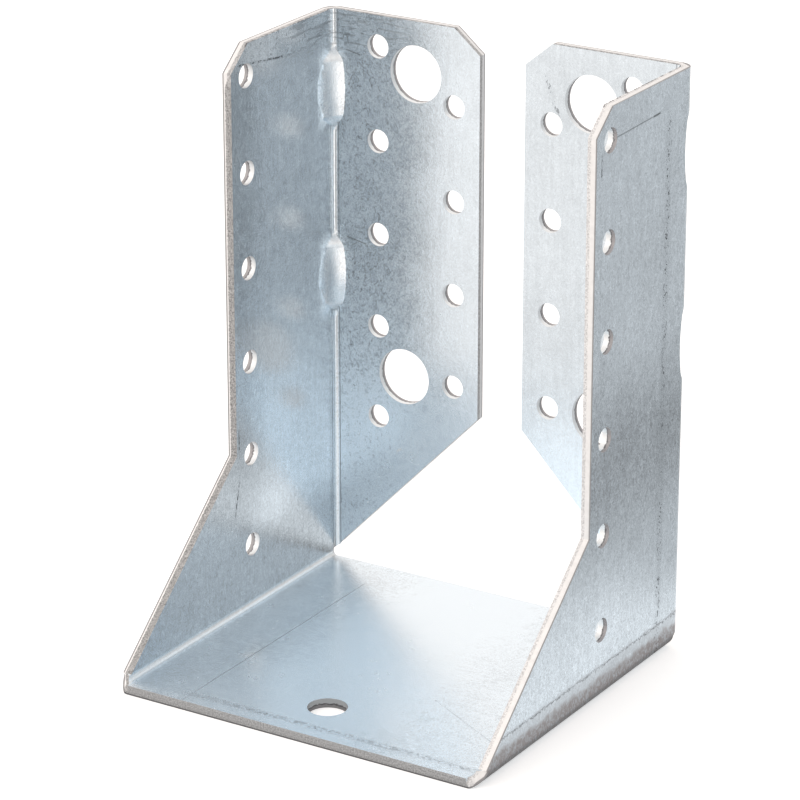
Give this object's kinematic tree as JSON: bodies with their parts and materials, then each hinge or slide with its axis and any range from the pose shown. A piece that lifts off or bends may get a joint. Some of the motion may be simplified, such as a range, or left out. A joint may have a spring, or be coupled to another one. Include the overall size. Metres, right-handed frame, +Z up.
{
  "type": "joist hanger",
  "caption": "Folded sheet joist hanger: a seat between stepped side walls, inward flanges with staggered nail and bolt holes at the back, and stiffening dents in the bends.",
  "frame": {"origin": "bottom centre of the part's box, on the underside of the seat", "axes": "+X across the joist towards the right wall, +Y from the open front towards the header behind the flanges, +Z up"},
  "size_m": [0.084, 0.08, 0.122],
  "materials": {
    "galvanised_sheet": "hot-dip galvanised, pale blue-grey, satin with fine spangle and scuffs"
  },
  "bodies": {
    "root": {"joist_hanger": "galvanised_sheet"}
  },
  "joints": []
}
